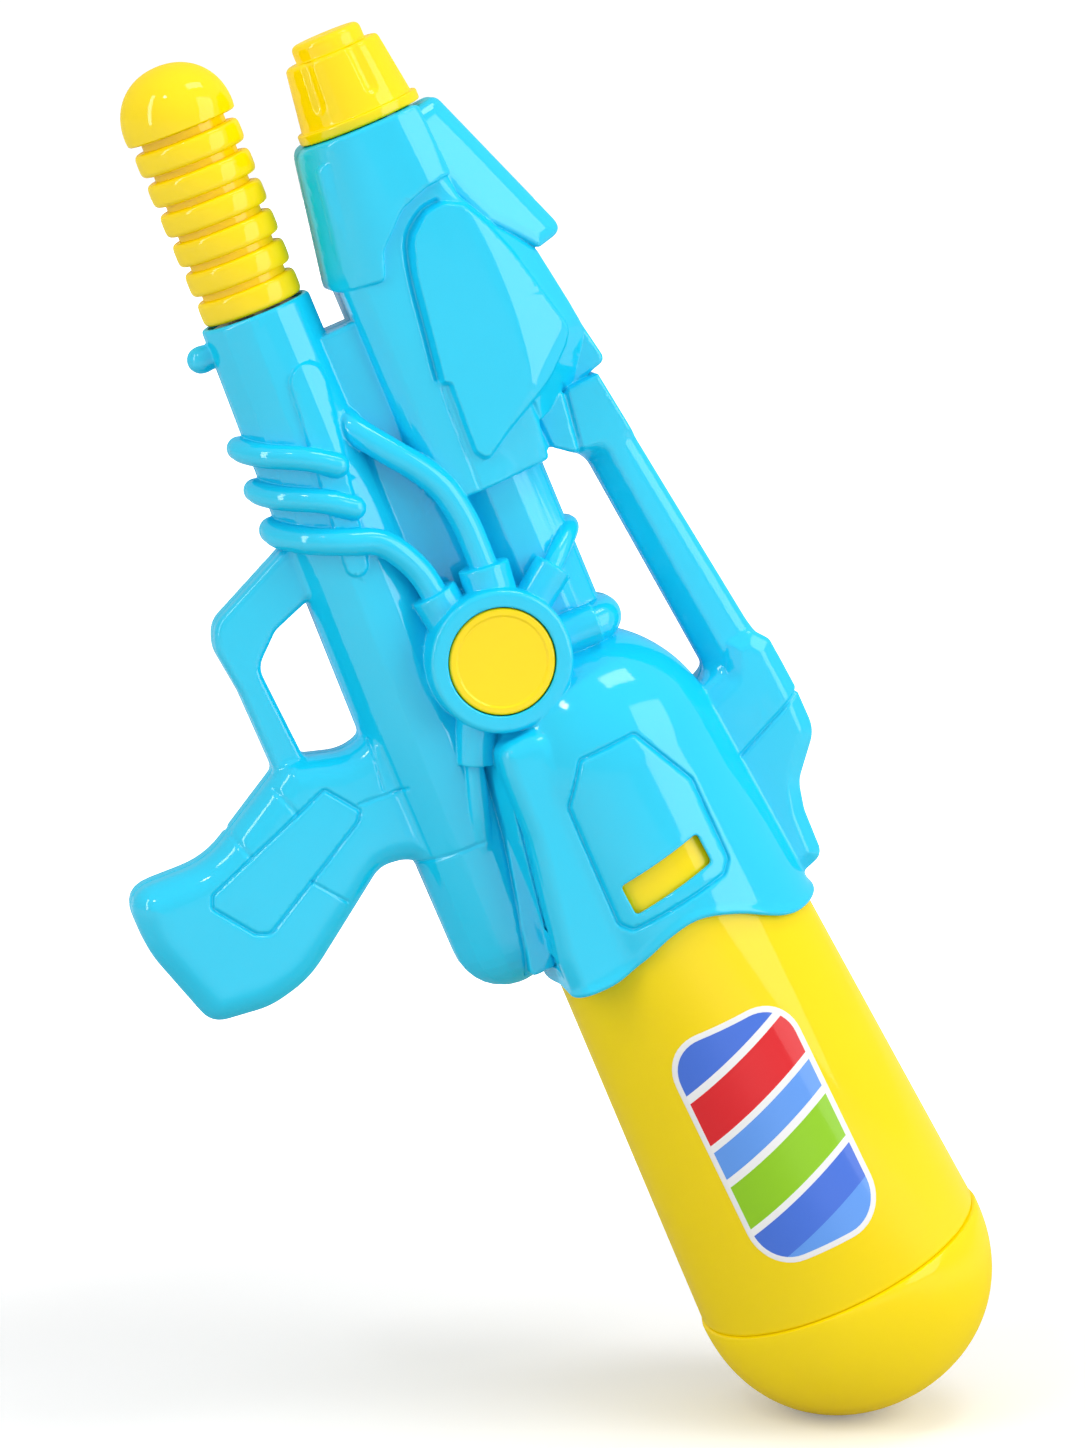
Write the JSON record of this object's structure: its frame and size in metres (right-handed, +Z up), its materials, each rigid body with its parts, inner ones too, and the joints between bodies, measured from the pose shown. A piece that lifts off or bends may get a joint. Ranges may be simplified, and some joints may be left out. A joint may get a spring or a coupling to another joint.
{
  "type": "pump water squirter",
  "caption": "Hand-pumped toy water squirter: two-half casing with pistol grip and carry handle, sliding ribbed pump handle, twist nozzle and screw-on rear tank.",
  "frame": {"origin": "middle of the hand grip, on the mid-plane between the two half shells", "axes": "muzzle towards -X, tank towards +X, +Z up with the barrel level, left side towards -Y"},
  "size_m": [0.5206, 0.1046, 0.2354],
  "materials": {
    "blue_plastic": "glossy sky-blue moulded plastic",
    "yellow_plastic": "glossy yellow moulded plastic",
    "tank_plastic": "glossy yellow blow-moulded plastic",
    "natural_plastic": "uncoloured moulded plastic",
    "seal_rubber": "black seal rubber",
    "hose_plastic": "flexible clear hose",
    "steel": "zinc-plated steel"
  },
  "bodies": {
    "gun_body": {"left_shell": "blue_plastic", "right_shell": "blue_plastic", "hub_disc_left": "yellow_plastic", "hub_disc_right": "yellow_plastic", "nozzle_stem": "natural_plastic", "pump_cylinder": "natural_plastic", "cylinder_gland": "natural_plastic", "valve_block": "natural_plastic", "inlet_fitting": "natural_plastic", "outlet_fitting": "natural_plastic", "tank_socket": "natural_plastic", "strainer": "natural_plastic", "suction_hose": "hose_plastic", "delivery_hose": "hose_plastic", "dip_tube": "hose_plastic", "shell_screw_1": "steel", "shell_screw_2": "steel", "shell_screw_3": "steel", "shell_screw_4": "steel", "shell_screw_5": "steel", "shell_screw_6": "steel", "shell_screw_7": "steel", "shell_screw_8": "steel", "shell_screw_9": "steel"},
    "pump": {"pump_grip": "yellow_plastic", "pump_end_cap": "yellow_plastic", "pump_screw": "steel", "pump_rod": "natural_plastic", "piston": "natural_plastic", "piston_o_ring": "seal_rubber"},
    "nozzle": {"nozzle": "yellow_plastic", "nozzle_o_ring": "seal_rubber"},
    "tank_seal": {"tank_gasket": "seal_rubber"},
    "tank": {"tank_body": "tank_plastic", "tank_end_cap": "tank_plastic"},
    "inlet_ball": {"inlet_ball": "steel"},
    "outlet_ball": {"outlet_ball": "steel"}
  },
  "joints": [
    {"name": "pump_slide", "type": "slide", "parent": "gun_body", "child": "pump", "axis": [-0.9998, 0, 0.0209], "range_m": [0, 0.1]},
    {"name": "nozzle_twist", "type": "hinge", "parent": "gun_body", "child": "nozzle", "pos_m": [-0.235, 0, 0.121], "axis": [-1, 0, 0], "range_deg": [0, 180]},
    {"name": "tank_draw", "type": "slide", "parent": "gun_body", "child": "tank_seal", "axis": [0.9984, 0, 0.0558], "range_m": [0, 0.009]},
    {"name": "tank_turn", "type": "hinge", "parent": "tank_seal", "child": "tank", "pos_m": [0.01, 0, 0.112], "axis": [0.9984, 0, 0.0558], "range_deg": [0, 540]},
    {"name": "inlet_lift", "type": "slide", "parent": "gun_body", "child": "inlet_ball", "axis": [0.0209, 0, 0.9998], "range_m": [0, 0.002]},
    {"name": "outlet_lift", "type": "slide", "parent": "gun_body", "child": "outlet_ball", "axis": [0.0209, 0, 0.9998], "range_m": [0, 0.002]}
  ],
  "couplings": [
    {"joint": "tank_draw", "follows": "tank_turn", "m_per_rad": 0.00095493}
  ]
}
